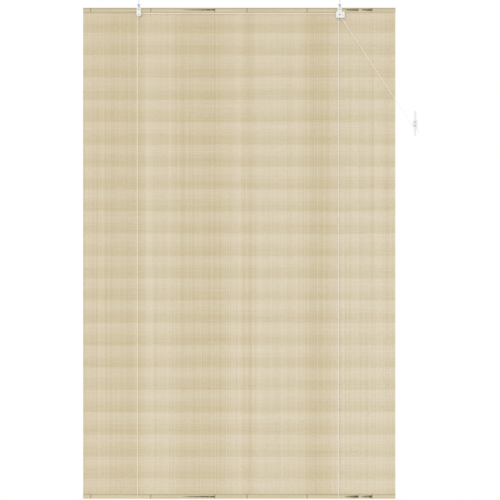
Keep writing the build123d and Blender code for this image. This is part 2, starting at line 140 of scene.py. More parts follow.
def smoothByAngle(piece, degrees):
    makeActive(piece)
    bpy.ops.object.shade_smooth_by_angle(angle=math.radians(degrees))


def addBox(name, centre, size):
    deselectAll()
    bpy.ops.mesh.primitive_cube_add(size=1, location=centre)
    block = nameActive(name)
    block.scale = size
    settle(block)
    return block


def turn(name, centre, axis, sides, rows):
    # a disc extruded row by row along an axis; each row is a radius and a level, in millimetres
    radius, level = rows[0]
    place = Vector(centre)
    place[axis] += level * mm
    deselectAll()
    bpy.ops.mesh.primitive_circle_add(vertices=sides, radius=radius * mm, fill_type="NGON", location=place,
                                      rotation=(math.radians(90) if axis == 1 else 0, 0, 0))
    piece = nameActive(name)
    settle(piece)
    editMode(piece, "FACE")
    bpy.ops.mesh.select_all(action="SELECT")
    for nextRadius, nextLevel in rows[1:]:
        move = Vector((0, 0, 0))
        move[axis] = (nextLevel - level) * mm
        bpy.ops.mesh.extrude_region_move(TRANSFORM_OT_translate={"value": move})
        size = Vector((1, 1, 1)) * (nextRadius / radius)
        size[axis] = 1
        bpy.ops.transform.resize(value=size, center_override=centre)
        radius, level = nextRadius, nextLevel
    cleanNormals(piece)
    return piece


def copyNode(node, name):
    # a CAD node's mesh as a piece of its own, its corners welded, its slivers and flat seams dissolved
    piece = bpy.data.objects.new(name, cad[node].data.copy())
    bpy.context.scene.collection.objects.link(piece)
    makeActive(piece)
    bpy.ops.mesh.customdata_custom_splitnormals_clear()
    cleanNormals(piece)
    editMode(piece, "FACE")
    bpy.ops.mesh.select_all(action="SELECT")
    bpy.ops.mesh.dissolve_degenerate(threshold=meshLimits["sliver"])
    bpy.ops.mesh.select_all(action="SELECT")
    bpy.ops.mesh.dissolve_limited(angle_limit=math.radians(meshLimits["flatAngle"]))
    deselectAll()
    return piece


def cutAway(piece, cutter):
    useModifier(piece, "BOOLEAN", operation="DIFFERENCE", solver="EXACT", object=cutter)
    makeActive(cutter)
    bpy.ops.object.delete()


def dress(piece, material, slot, *stoodFor):
    piece.data.materials.clear()
    piece.data.materials.append(material)
    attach(piece, carrier)
    if stoodFor:
        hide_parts(*stoodFor)


# node helpers for the materials

def colour(red, green, blue):
    # a colour as the eye reads it, 0 to 255, made linear
    def straight(level):
        level /= 255
        return level / 12.92 if level <= 0.04045 else ((level + 0.055) / 1.055) ** 2.4
    return (straight(red), straight(green), straight(blue), 1)


def newMaterial(name, roughness, metallic=0.0):
    material = bpy.data.materials.new(name)
    material.use_nodes = True
    tree = material.node_tree
    shader = tree.nodes["Principled BSDF"]
    shader.inputs["Roughness"].default_value = roughness
    shader.inputs["Metallic"].default_value = metallic
    return material, tree, shader


def feed(tree, socket, value):
    if isinstance(value, bpy.types.NodeSocket):
        tree.links.new(value, socket)
    else:
        socket.default_value = value


def calc(tree, operation, *values):
    node = tree.nodes.new("ShaderNodeMath")
    node.operation = operation
    for socket, value in zip(node.inputs, values):
        feed(tree, socket, value)
    return node.outputs[0]


def mixColour(tree, share, first, second):
    node = tree.nodes.new("ShaderNodeMix")
    node.data_type = "RGBA"
    feed(tree, node.inputs[0], share)
    feed(tree, node.inputs[6], first)  # the colours' sockets
    feed(tree, node.inputs[7], second)
    return node.outputs[2]


def objectPoint(tree):
    node = tree.nodes.new("ShaderNodeTexCoord")
    split = tree.nodes.new("ShaderNodeSeparateXYZ")
    tree.links.new(node.outputs["Object"], split.inputs[0])
    return node.outputs["Object"], split.outputs[0], split.outputs[1], split.outputs[2]


def stretched(tree, point, scale):
    node = tree.nodes.new("ShaderNodeMapping")
    node.inputs["Scale"].default_value = scale
    tree.links.new(point, node.inputs["Vector"])
    return node.outputs[0]


def noise(tree, point, scale, detail=2.0):
    node = tree.nodes.new("ShaderNodeTexNoise")
    node.inputs["Scale"].default_value = scale
    node.inputs["Detail"].default_value = detail
    tree.links.new(point, node.inputs["Vector"])
    return node.outputs[0]


def steps(tree, value, stops):
    # a ramp of grey tones: a list of places and tones
    node = tree.nodes.new("ShaderNodeValToRGB")
    ramp = node.color_ramp
    ramp.interpolation = "EASE"
    for index, (place, tone) in enumerate(stops):
        element = ramp.elements[index] if index < 2 else ramp.elements.new(place)
        element.position = place
        element.color = (tone, tone, tone, 1)
    tree.links.new(value, node.inputs[0])
    return node.outputs[0]


def addBump(tree, shader, height, bump):
    # a bump is a strength and a depth in millimetres
    strength, depth = bump
    node = tree.nodes.new("ShaderNodeBump")
    node.inputs["Strength"].default_value = strength
    node.inputs["Distance"].default_value = depth * mm
    tree.links.new(height, node.inputs["Height"])
    tree.links.new(node.outputs[0], shader.inputs["Normal"])


# camera: square on to the blind, far off with a long lens

cameraSetup = {"centre": (0.0482, -1.1003), "distance": 14.0, "frameHeight": 2.241, "sensor": 36.0,
               "clipEnd": 100.0}


def makeCamera():
    data = bpy.data.cameras.new("frontCamera")
    camera = bpy.data.objects.new("frontCamera", data)
    bpy.context.scene.collection.objects.link(camera)
    centreX, centreZ = cameraSetup["centre"]
    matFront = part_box("bamboo_mat")[0].y
    camera.location = (centreX, matFront - cameraSetup["distance"], centreZ)
    camera.rotation_euler = (math.radians(90), 0, 0)
    data.sensor_width = cameraSetup["sensor"]
    data.lens = cameraSetup["sensor"] * cameraSetup["distance"] / cameraSetup["frameHeight"]
    data.clip_end = cameraSetup["clipEnd"]
    bpy.context.scene.camera = camera
    bpy.context.scene.view_settings.view_transform = "Standard"


# light: an even white room and one broad soft lamp from the front, left and above

lightSetup = {"roomStrength": 0.74, "lampStrength": 0.9, "lampFromLeft": 12, "lampFromAbove": 16,
              "lampSpread": 44, "floorDrop": 0.35, "floorSize": 8.0, "floorTone": colour(244, 244, 242),
              "floorRoughness": 0.9}


def makeLight():
    world = bpy.data.worlds.new("whiteRoom")
    world.use_nodes = True
    tree = world.node_tree
    room = tree.nodes["Background"]
    room.inputs["Color"].default_value = (1, 1, 1, 1)
    room.inputs["Strength"].default_value = lightSetup["roomStrength"]
    backdrop = tree.nodes.new("ShaderNodeBackground")
    backdrop.inputs["Color"].default_value = (1, 1, 1, 1)
    path = tree.nodes.new("ShaderNodeLightPath")
    seen = calc(tree, "MAXIMUM", path.outputs["Is Camera Ray"], path.outputs["Is Transmission Ray"])
    seen = calc(tree, "MAXIMUM", seen, path.outputs["Is Glossy Ray"])
    choose = tree.nodes.new("ShaderNodeMixShader")
    tree.links.new(seen, choose.inputs[0])
    tree.links.new(room.outputs[0], choose.inputs[1])
    tree.links.new(backdrop.outputs[0], choose.inputs[2])
    tree.links.new(choose.outputs[0], tree.nodes["World Output"].inputs["Surface"])
    bpy.context.scene.world = world

    data = bpy.data.lights.new("softLamp", "SUN")
    data.energy = lightSetup["lampStrength"]
    data.angle = math.radians(lightSetup["lampSpread"])
    lamp = bpy.data.objects.new("softLamp", data)
    lamp.rotation_euler = (math.radians(90 - lightSetup["lampFromAbove"]), 0,
                           -math.radians(lightSetup["lampFromLeft"]))
    lamp.visible_glossy = False  # metal and plastic mirror the room, not the lamp
    bpy.context.scene.collection.objects.link(lamp)

    deselectAll()
    bpy.ops.mesh.primitive_plane_add(size=lightSetup["floorSize"],
                                     location=(0, 0, cadLow.z - lightSetup["floorDrop"]))
    floor = nameActive("paleFloor")
    material, tree, shader = newMaterial("paleFloor", lightSetup["floorRoughness"])
    shader.inputs["Base Color"].default_value = lightSetup["floorTone"]
    floor.data.materials.append(material)


makeCamera()
makeLight()
print("camera and light set")


# cords: cream cotton on smooth lines, each route's points as the blind is strung, in millimetres

cordLook = {
    "diameter": 2.5, "shade": colour(240, 235, 222), "light": colour(255, 253, 247), "strandsPerMetre": 330,
    "strandLean": (-0.7, 0.9), "strandWeight": 0.55, "fuzzScale": 900, "fuzzWeight": 0.5, "sheen": 0.2,
    "roughness": 0.85, "bump": (0.3, 0.2), "stepsAlong": 10, "stepsRound": 3,
}


def cordMaterial():
    material, tree, shader = newMaterial("cottonCord", cordLook["roughness"])
    point, x, y, z = objectPoint(tree)
    leanX, leanY = cordLook["strandLean"]
    reach = calc(tree, "MULTIPLY_ADD", x, leanX, z)
    reach = calc(tree, "MULTIPLY_ADD", y, leanY, reach)
    turns = calc(tree, "MULTIPLY", reach, cordLook["strandsPerMetre"] * 2 * math.pi)
    strands = calc(tree, "MULTIPLY_ADD", calc(tree, "SINE", turns), 0.5, 0.5)
    fuzz = noise(tree, point, cordLook["fuzzScale"], 3)
    tone = calc(tree, "ADD", calc(tree, "MULTIPLY", strands, cordLook["strandWeight"]),
                calc(tree, "MULTIPLY", fuzz, cordLook["fuzzWeight"]))
    tree.links.new(mixColour(tree, tone, cordLook["shade"], cordLook["light"]), shader.inputs["Base Color"])
    addBump(tree, shader, tone, cordLook["bump"])
    shader.inputs["Sheen Weight"].default_value = cordLook["sheen"]
    return material


cotton = cordMaterial()


def layCord(name, points, closed=False, diameter=None):
    data = bpy.data.curves.new(name, "CURVE")
    data.dimensions = "3D"
    data.resolution_u = cordLook["stepsAlong"]
    data.bevel_depth = (diameter or cordLook["diameter"]) / 2 * mm
    data.bevel_resolution = cordLook["stepsRound"]
    data.use_fill_caps = True
    line = data.splines.new("NURBS")
    line.points.add(len(points) - 1)
    for point, place in zip(line.points, points):
        point.co = (place[0] * mm, place[1] * mm, place[2] * mm, 1)
    line.order_u = 3
    line.use_cyclic_u = closed
    line.use_endpoint_u = not closed
    cord = bpy.data.objects.new(name, data)
    bpy.context.scene.collection.objects.link(cord)
    return cord


leftRoute = [
    (-455.5, 18.45, -24), (-455.5, 18.45, -2208.5), (-455.5, 18.45, -2216.55), (-455.5, 10.85, -2216.55),
    (-455.5, 3.25, -2216.55), (-455.5, 3.24, -2208.5), (-455.5, 0.02, -51.5), (-455.5, 0, -40.5),
    (-444.5, -0.03, -40.5), (444.5, -2.77, -40.5), (455.5, -2.8, -40.5), (455.5, -2.8, -57),
    (459.9, -2.63, -63.7),
]
rightRoute = [
    (444.5, 18.45, -24), (444.5, 18.45, -2208.5), (444.5, 18.45, -2216.55), (444.5, 10.85, -2216.55),
    (444.5, 3.25, -2216.55), (444.5, 3.24, -2208.5), (444.5, 0.02, -51.5), (444.5, 0, -40.5),
    (455.5, 0, -40.5), (455.5, 0, -57), (459.9, 0.17, -63.7),
]
pullRoute = [
    (463.76, -1.08, -69.52), (775.5, 10.83, -542.1), (783.73, 11.15, -554.55), (799.05, 11.15, -554.55),
    (799.05, 10.3, -515.45), (779.45, 8.6, -515.45), (779.45, 7.75, -554.55), (801.5, 7.75, -555.8),
    (802.75, 7.75, -565.8),
]


def makeCords():
    leftCord = layCord("leftLiftCord", leftRoute)
    dress(leftCord, cotton, "cotton_cord", "left_lift_cord")
    rightCord = layCord("rightLiftCord", rightRoute)
    dress(rightCord, cotton, "cotton_cord", "right_lift_cord")
    pullCord = layCord("pullCord", pullRoute)
    dress(pullCord, cotton, "cotton_cord", "pull_cord")
    return pullCord


pullCord = makeCords()


# knots: a tight overhand knot, drawn as a trefoil and turned along its cord

knotLook = {"points": 18, "spread": 0.68, "swell": 3.0, "diameter": 2.1, "core": 3.4}


def tieKnot(name, centre, along, leads):
    # the loop, a core along the cord, and a short lead from each cord's end into the middle
    turned = Vector(along).to_track_quat("Z", "Y")
    centre = Vector(centre)
    loop = []
    for step in range(knotLook["points"]):
        angle = 2 * math.pi * step / knotLook["points"]
        place = Vector((math.sin(angle) + 2 * math.sin(2 * angle), math.cos(angle) - 2 * math.cos(2 * angle),
                        -knotLook["swell"] * math.sin(3 * angle))) * knotLook["spread"]
        loop.append(centre + turned @ place)
    reach = Vector(along).normalized() * knotLook["core"]
    strands = [layCord(name, loop, closed=True, diameter=knotLook["diameter"]),
               layCord(name, [centre - reach, centre, centre + reach])]
    strands += [layCord(name, [lead, (Vector(lead) * 2 + centre) / 3, centre]) for lead in leads]
    for strand in strands:
        makeActive(strand)
        bpy.ops.object.convert(target="MESH")
    return joinAll(name, strands)


def middleOf(node):
    low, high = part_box(node)
    return (low + high) / 2 / mm


def makeKnots():
    pullLine = Vector(pullRoute[1]) - Vector(pullRoute[0])
    joining = tieKnot("joiningKnot", middleOf("joining_knot"), pullLine, [leftRoute[-1], rightRoute[-1]])
    dress(joining, cotton, "cotton_cord", "joining_knot")
    tail = tieKnot("tailKnot", middleOf("tail_knot"), Vector(pullRoute[-1]) - Vector(pullRoute[-2]), [])
    dress(tail, cotton, "cotton_cord", "tail_knot")
    _, endY, endZ = middleOf("cord_end_knots")
    leftEnd = tieKnot("endKnot", (leftRoute[0][0], endY, endZ), (0, 0, 1), [leftRoute[0]])
    rightEnd = copyPiece(leftEnd, ((rightRoute[0][0] - leftRoute[0][0]) * mm, 0, 0))
    dress(joinAll("cordEndKnots", [leftEnd, rightEnd]), cotton, "cotton_cord", "cord_end_knots")
    return tail, joining


tailKnot, joiningKnot = makeKnots()
print("cords strung and knotted")


# woven mat: split slats laid level and bound by cotton warps

matLook = {"slats": 352, "height": 6.05, "thickness": 1.25, "edge": 0.5, "stations": 5, "inAndOut": 0.1,
           "wander": 0.14, "endTrim": 0.6, "seed": 11, "smoothAngle": 60}
matLow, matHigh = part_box("bamboo_mat")
slatPitch = (matHigh.z - matLow.z) / matLook["slats"]
matMiddle = (matLow.y + matHigh.y) / 2


def makeSlats():
    width = matHigh.x - matLow.x
    deselectAll()
    bpy.ops.mesh.primitive_cube_add(size=1, location=(0, matMiddle - matLook["inAndOut"] * mm,
                                                      matHigh.z - slatPitch / 2))
    slats = nameActive("bambooSlats")
    slats.scale = (width, matLook["thickness"] * mm, matLook["height"] * mm)
    settle(slats)
    pick(slats, "EDGE", lambda edge: abs(edge.verts[0].co.x - edge.verts[1].co.x) > width / 2)
    bpy.ops.mesh.bevel(offset=matLook["edge"] * mm, segments=1)
    for station in range(1, matLook["stations"]):
        bpy.ops.mesh.select_all(action="SELECT")
        cut = matLow.x + width * station / matLook["stations"]
        bpy.ops.mesh.bisect(plane_co=(cut, 0, 0), plane_no=(1, 0, 0))
    bpy.ops.mesh.select_all(action="SELECT")
    shift = (0, 2 * matLook["inAndOut"] * mm, -slatPitch)
    bpy.ops.mesh.duplicate_move(TRANSFORM_OT_translate={"value": shift})
    deselectAll()
    useModifier(slats, "ARRAY", count=matLook["slats"] // 2, use_relative_offset=False,
                use_constant_offset=True, constant_offset_displace=(0, 0, -2 * slatPitch))
    # both edges of a slat stray a little from level and its ends are cut a little short, as split cane is
    draw = random.Random(matLook["seed"])
    edges = range(2 * matLook["slats"])
    stray = [[draw.uniform(-1, 1) for _ in range(matLook["stations"] + 1)] for _ in edges]
    trim = [[draw.random(), draw.random()] for _ in edges]
    for vertex in slats.data.vertices:
        edge = int((matHigh.z - vertex.co.z) / slatPitch * 2)
        slat = edge // 2
        station = round((vertex.co.x - matLow.x) / width * matLook["stations"])
        vertex.co.z += stray[edge][station] * matLook["wander"] * mm
        if station == 0:
            vertex.co.x += trim[slat][0] * matLook["endTrim"] * mm
        if station == matLook["stations"]:
            vertex.co.x -= trim[slat][1] * matLook["endTrim"] * mm
    smoothByAngle(slats, matLook["smoothAngle"])
    return slats


warpLook = {
    "count": 64, "width": 1.8, "depth": 0.42, "stray": 3.5, "inset": 9.0, "float": 0.86, "seed": 4,
    "shade": colour(228, 219, 198), "light": colour(250, 245, 231), "twist": 5200, "fuzzScale": 700,
    "sides": 3, "weld": 1e-5, "roughness": 0.9, "twistWeight": 0.2, "bump": (0.3, 0.1),
}


def makeWarps():
    # one thread over and under two slats, arrayed down the mat and then across it
    front = matLow.y + warpLook["depth"] / 2 * mm
    back = matHigh.y - warpLook["depth"] / 2 * mm
    floatRun = slatPitch * warpLook["float"]
    dive = slatPitch - floatRun
    first = matLow.x + warpLook["inset"] * mm
    spacing = (matHigh.x - matLow.x - 2 * warpLook["inset"] * mm) / (warpLook["count"] - 1)
    deselectAll()
    bpy.ops.mesh.primitive_circle_add(vertices=warpLook["sides"], radius=0.5,
                                      location=(first, front, matHigh.z))
    thread = nameActive("warpThreads")
    thread.scale = (warpLook["width"] * mm, warpLook["depth"] * mm, 1)
    settle(thread)
    editMode(thread, "VERT")
    bpy.ops.mesh.select_all(action="SELECT")
    for move in ((0, 0, -floatRun), (0, back - front, -dive), (0, 0, -floatRun), (0, front - back, -dive)):
        bpy.ops.mesh.extrude_region_move(TRANSFORM_OT_translate={"value": move})
    deselectAll()
    useModifier(thread, "ARRAY", count=matLook["slats"] // 2, use_relative_offset=False,
                use_constant_offset=True, constant_offset_displace=(0, 0, -2 * slatPitch),
                use_merge_vertices=True, merge_threshold=warpLook["weld"])
    editMode(thread, "EDGE")
    bpy.ops.mesh.select_all(action="SELECT")
    bpy.ops.mesh.fill_holes(sides=warpLook["sides"])
    # its neighbour goes the other way round each slat
    bpy.ops.mesh.select_all(action="SELECT")
    bpy.ops.mesh.duplicate_move(TRANSFORM_OT_translate={"value": (spacing, 0, 0)})
    bpy.ops.transform.resize(value=(1, -1, 1), center_override=(first, matMiddle, 0))
    cleanNormals(thread)
    # one half of the mat, in pairs, and a copy for the other half
    useModifier(thread, "ARRAY", count=warpLook["count"] // 4, use_relative_offset=False,
                use_constant_offset=True, constant_offset_displace=(2 * spacing, 0, 0))
    rightHalf = copyPiece(thread, (spacing * warpLook["count"] / 2, 0, 0))
    thread.name, rightHalf.name = "leftWarps", "rightWarps"
    draw = random.Random(warpLook["seed"])
    stray = [draw.uniform(-1, 1) * warpLook["stray"] * mm for _ in range(warpLook["count"])]
    for half in (thread, rightHalf):
        for vertex in half.data.vertices:
            vertex.co.x += stray[round((vertex.co.x - first) / spacing)]
        makeActive(half)
        bpy.ops.object.shade_smooth()
    return thread, rightHalf


# tones of the mat: rows of sixteen slats, light above and dark below, and upright light and dark zones

matTones = {
    "dark": colour(204, 187, 147), "light": colour(227, 216, 193), "rowSlats": 16, "firstRow": 1.75,
    # the next line also sets the painted light that makes the mat lighter towards its foot
    "rowWeight": 0.39, "columnWeight": 0.46, "footLightWeight": 0.16, "footLightMiddle": 0.4, "roughness": 0.6,
    "specular": 0.3, "bump": (0.4, 0.2), "slatWeight": 0.03, "fibreWeight": 0.45, "streakWeight": 1.3,
    "fibreScale": (14, 500, 1800), "streakScale": (170, 0, 0.4),
    "jointSpacing": 0.34, "jointHalf": 0.4, "jointDepth": 0.9,
    "rowShares": [(0.0, 0.95), (0.2, 0.98), (0.8, 0.18), (1.0, 0.3)],
    "columnShares": [(0.0, 0.55), (0.06, 0.5), (0.1, 0.2), (0.165, 0.25), (0.21, 0.8), (0.28, 0.75),
                     (0.31, 0.3), (0.42, 0.2), (0.46, 0.55), (0.5, 0.85), (0.53, 0.2), (0.56, 0.8),
                     (0.7, 0.75), (0.715, 0.25), (0.738, 0.02), (0.78, 0.25), (0.81, 0.8), (0.935, 0.85),
                     (1.0, 0.55)],
}


def slatMaterial():
    material, tree, shader = newMaterial("wovenBamboo", matTones["roughness"])
    point, x, _, z = objectPoint(tree)
    slat = calc(tree, "FLOOR", calc(tree, "DIVIDE", calc(tree, "SUBTRACT", matHigh.z, z), slatPitch))
    row = calc(tree, "FRACT", calc(tree, "DIVIDE", calc(tree, "SUBTRACT", slat, matTones["firstRow"]),
                                   matTones["rowSlats"]))
    rowTone = steps(tree, row, matTones["rowShares"])
    share = calc(tree, "DIVIDE", calc(tree, "SUBTRACT", x, matLow.x), matHigh.x - matLow.x)
    columnTone = steps(tree, share, matTones["columnShares"])
    own = tree.nodes.new("ShaderNodeTexWhiteNoise")
    own.noise_dimensions = "1D"
    tree.links.new(slat, own.inputs["W"])
    fibre = noise(tree, stretched(tree, point, matTones["fibreScale"]), 1, 3)
    streak = noise(tree, stretched(tree, point, matTones["streakScale"]), 1, 2)
    tone = calc(tree, "MULTIPLY", rowTone, matTones["rowWeight"])
    tone = calc(tree, "ADD", tone, calc(tree, "MULTIPLY", columnTone, matTones["columnWeight"]))
    # painted light: the mat is painted a little lighter towards the foot than at the head
    paintedFootLight = calc(tree, "SUBTRACT", calc(tree, "DIVIDE", slat, matLook["slats"]), matTones["footLightMiddle"])
    tone = calc(tree, "ADD", tone, calc(tree, "MULTIPLY", paintedFootLight, matTones["footLightWeight"]))
    for part, weight in ((own.outputs[0], "slatWeight"), (fibre, "fibreWeight"), (streak, "streakWeight")):
        tone = calc(tree, "MULTIPLY_ADD", calc(tree, "SUBTRACT", part, 0.5), matTones[weight], tone)
    # each slat shows the cane's joints at its own places
    reach = calc(tree, "ADD", calc(tree, "DIVIDE", x, matTones["jointSpacing"]), own.outputs[0])
    fromJoint = calc(tree, "ABSOLUTE", calc(tree, "SUBTRACT", calc(tree, "FRACT", reach), 0.5))
    joint = calc(tree, "LESS_THAN", fromJoint, matTones["jointHalf"] * mm / matTones["jointSpacing"])
    tone = calc(tree, "SUBTRACT", tone, calc(tree, "MULTIPLY", joint, matTones["jointDepth"]))
    base = mixColour(tree, tone, matTones["dark"], matTones["light"])
    tree.links.new(base, shader.inputs["Base Color"])
    shader.inputs["Specular IOR Level"].default_value = matTones["specular"]
    addBump(tree, shader, calc(tree, "ADD", fibre, joint), matTones["bump"])
    return material


def warpMaterial():
    material, tree, shader = newMaterial("warpCotton", warpLook["roughness"])
    point, x, _, z = objectPoint(tree)
    twist = calc(tree, "SINE", calc(tree, "MULTIPLY", calc(tree, "ADD", z, x), warpLook["twist"]))
    fuzz = noise(tree, point, warpLook["fuzzScale"], 2)
    tone = calc(tree, "MULTIPLY_ADD", twist, warpLook["twistWeight"], fuzz)
    tree.links.new(mixColour(tree, tone, warpLook["shade"], warpLook["light"]), shader.inputs["Base Color"])
    addBump(tree, shader, tone, warpLook["bump"])
    return material


slats = makeSlats()
dress(slats, slatMaterial(), "woven_bamboo", "bamboo_mat")
threadCotton = warpMaterial()
for half in makeWarps():
    dress(half, threadCotton, "cotton_cord")
print("mat woven:", len(slats.data.polygons), "slat faces")


# battens: split cane, with dark lines at the knuckles and a groove that runs up to some of them

battenLook = {
    "dark": colour(191, 176, 137), "light": colour(233, 223, 193), "knuckle": colour(116, 101, 70),
    # the groove colour is the cane's own brown with painted shade of the recess
    "groove": colour(74, 61, 40), "top": colour(150, 138, 106), "topFade": 2.2, "headSkin": 1.0,
    # top, on the line above, is the colour of the painted shade along the upper edge; the head and foot
    # shares set how much of it each batten gets
    "footSkin": 0.35, "knuckleHalf": 1.6,
    "frontKnuckleShares": (0.025, 0.217, 0.422, 0.525, 0.717, 0.925),
    "rearKnuckleShares": (0.09, 0.31, 0.47, 0.68, 0.88),
    "frontGrooves": ((0.315, 0.421, 3.8), (0.838, 0.882, 5.6), (0.889, 0.924, 5.6)),
    "rearGrooves": ((0.39, 0.468, 4.4),), "grooveDepth": 1.3, "grooveEdge": 0.8, "knuckleRise": 0.4,
    "smoothAngle": 30, "grooveStart": 0.62, "grooveRise": 0.38, "blotchScale": (70, 150, 150),
    "blotchTones": [(0.36, 0.62), (0.58, 1.0)],
    "fibreScale": (5, 300, 700), "fineScale": (22, 900, 2600), "patchScale": (4, 20, 20),
    "fibreWeight": 1.1, "fineWeight": 0.6, "patchWeight": 0.5, "toneFloor": 0.6, "topFloor": 0.3,
    "knuckleSpread": 0.5, "fineHeight": 0.4, "roughness": 0.5, "bump": (0.4, 0.4), "grooveFaces": (48, 16),
}


def battenMaterial(node, paintedTopShade, knuckleShares, grooves):
    material, tree, shader = newMaterial(node + "Cane", battenLook["roughness"])
    low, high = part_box(node)
    middle = (low.z + high.z) / 2
    point, x, _, z = objectPoint(tree)
    share = calc(tree, "DIVIDE", calc(tree, "SUBTRACT", x, low.x), high.x - low.x)
    fibre = noise(tree, stretched(tree, point, battenLook["fibreScale"]), 1, 4)
    fine = noise(tree, stretched(tree, point, battenLook["fineScale"]), 1, 3)
    patch = noise(tree, stretched(tree, point, battenLook["patchScale"]), 1, 2)
    tone = calc(tree, "ADD", calc(tree, "MULTIPLY", fibre, battenLook["fibreWeight"]),
                calc(tree, "MULTIPLY", patch, battenLook["patchWeight"]))
    tone = calc(tree, "ADD", tone, calc(tree, "MULTIPLY", fine, battenLook["fineWeight"]))
    tone = calc(tree, "SUBTRACT", tone, battenLook["toneFloor"])
    base = mixColour(tree, tone, battenLook["dark"], battenLook["light"])
    # painted shade: the cane is painted darker towards the upper edge, more so on the head than on the foot
    upper = calc(tree, "DIVIDE", calc(tree, "SUBTRACT", z, low.z), high.z - low.z)
    upper = calc(tree, "POWER", calc(tree, "MAXIMUM", upper, 0), battenLook["topFade"])
    upper = calc(tree, "MULTIPLY", calc(tree, "MULTIPLY", upper, paintedTopShade),
                 calc(tree, "ADD", battenLook["topFloor"], fibre))
    base = mixColour(tree, upper, base, battenLook["top"])
    away = calc(tree, "ABSOLUTE", calc(tree, "SUBTRACT", z, middle))
    for start, end, halfHeight in grooves:
        # the groove is painted dark inside: partly the cane's own brown, partly painted shade of the recess
        along = calc(tree, "DIVIDE", calc(tree, "SUBTRACT", share, start), end - start)
        short = calc(tree, "SUBTRACT", 1, along)
        half = calc(tree, "MAXIMUM", calc(tree, "SUBTRACT", 1, calc(tree, "MULTIPLY", short, short)), 0)
        half = calc(tree, "MULTIPLY", calc(tree, "SQRT", half), halfHeight * mm)
        inside = calc(tree, "DIVIDE", calc(tree, "SUBTRACT", half, away), battenLook["grooveEdge"] * mm)
        inside = calc(tree, "MINIMUM", calc(tree, "MAXIMUM", inside, 0), 1)
        inside = calc(tree, "MULTIPLY", inside, calc(tree, "LESS_THAN", along, 1))
        # painted darker towards the knuckle, where the groove is deepest, and blotched
        depth = calc(tree, "MULTIPLY_ADD", along, battenLook["grooveRise"], battenLook["grooveStart"])
        blotch = noise(tree, stretched(tree, point, battenLook["blotchScale"]), 1, 2)
        depth = calc(tree, "MULTIPLY", depth, steps(tree, blotch, battenLook["blotchTones"]))
        inside = calc(tree, "MULTIPLY", inside, depth)
        base = mixColour(tree, inside, base, battenLook["groove"])
    nearest = 1.0
    for knuckle in knuckleShares:
        apart = calc(tree, "ABSOLUTE", calc(tree, "SUBTRACT", share, knuckle))
        nearest = calc(tree, "MINIMUM", nearest, apart)
    # a knuckle is a low ridge, darkest along its middle
    ridge = calc(tree, "DIVIDE", nearest, battenLook["knuckleHalf"] * mm / (high.x - low.x))
    ridge = calc(tree, "MAXIMUM", calc(tree, "SUBTRACT", 1, calc(tree, "MULTIPLY", ridge, ridge)), 0)
    line = calc(tree, "POWER", ridge, battenLook["knuckleSpread"])
    base = mixColour(tree, line, base, battenLook["knuckle"])
    tree.links.new(base, shader.inputs["Base Color"])
    height = calc(tree, "ADD", fibre, calc(tree, "MULTIPLY", fine, battenLook["fineHeight"]))
    addBump(tree, shader, calc(tree, "ADD", height, ridge), battenLook["bump"])
    return material


def makeBatten(node, name, side):
    # each groove is half of a long ellipsoid, round at its start and cut off flat at the knuckle
    low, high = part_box(node)
    rise = battenLook["knuckleRise"] * mm
    face = low.y + rise if side == "front" else high.y - rise
    batten = copyNode(node, name)
    for start, end, halfHeight in battenLook[side + "Grooves"]:
        knuckleX = low.x + end * (high.x - low.x)
        deselectAll()
        segments, rings = battenLook["grooveFaces"]
        bpy.ops.mesh.primitive_uv_sphere_add(segments=segments, ring_count=rings,
                                             location=(knuckleX, face, (low.z + high.z) / 2))
        cutter = nameActive("grooveCutter")
        cutter.scale = ((end - start) * (high.x - low.x), battenLook["grooveDepth"] * mm, halfHeight * mm)
        settle(cutter)
        editMode(cutter, "FACE")
        bpy.ops.mesh.select_all(action="SELECT")
        bpy.ops.mesh.bisect(plane_co=(knuckleX, 0, 0), plane_no=(1, 0, 0), use_fill=True, clear_outer=True)
        deselectAll()
        cutAway(batten, cutter)
    smoothByAngle(batten, battenLook["smoothAngle"])
    useModifier(batten, "WEIGHTED_NORMAL", keep_sharp=True)
    return batten


for end in ("head", "foot"):
    for side in ("front", "rear"):
        node = f"{end}_batten_{side}"
        # the head and foot shares set how much painted shade darkens each batten's upper edge
        cane = battenMaterial(node, battenLook[end + "Skin"], battenLook[side + "KnuckleShares"],
                              battenLook[side + "Grooves"])
        batten = makeBatten(node, f"{end}{side.capitalize()}Batten", side)
        dress(batten, cane, "split_bamboo", node)
print("battens split and grooved")


# moulded white plastic, and steel

plasticLook = {"cloudScale": 90, "speckScale": 1600, "shadeShare": 0.93, "roughSpread": 0.16,
               "bumpDepth": 0.1}
# the next line also says below what height, and how strongly, the hooks' eyes are painted in shade
steelLook = {"spangleScale": 420, "brushScale": (300, 3000, 3000), "shadeBelow": -8.5, "shadeFloor": 0.35,
             "roughSpread": 0.2, "bump": (0.15, 0.05)}


def plasticMaterial(name, tint, roughness, grain):
    material, tree, shader = newMaterial(name, roughness)
    point = objectPoint(tree)[0]
    cloud = noise(tree, point, plasticLook["cloudScale"], 3)
    speck = noise(tree, point, plasticLook["speckScale"], 2)
    shade = tuple(level * plasticLook["shadeShare"] for level in tint[:3]) + (1,)
    tree.links.new(mixColour(tree, cloud, shade, tint), shader.inputs["Base Color"])
    spread = plasticLook["roughSpread"]
    rough = calc(tree, "ADD", roughness - spread / 2, calc(tree, "MULTIPLY", cloud, spread))
    tree.links.new(rough, shader.inputs["Roughness"])
    addBump(tree, shader, speck, (grain, plasticLook["bumpDepth"]))
    return material


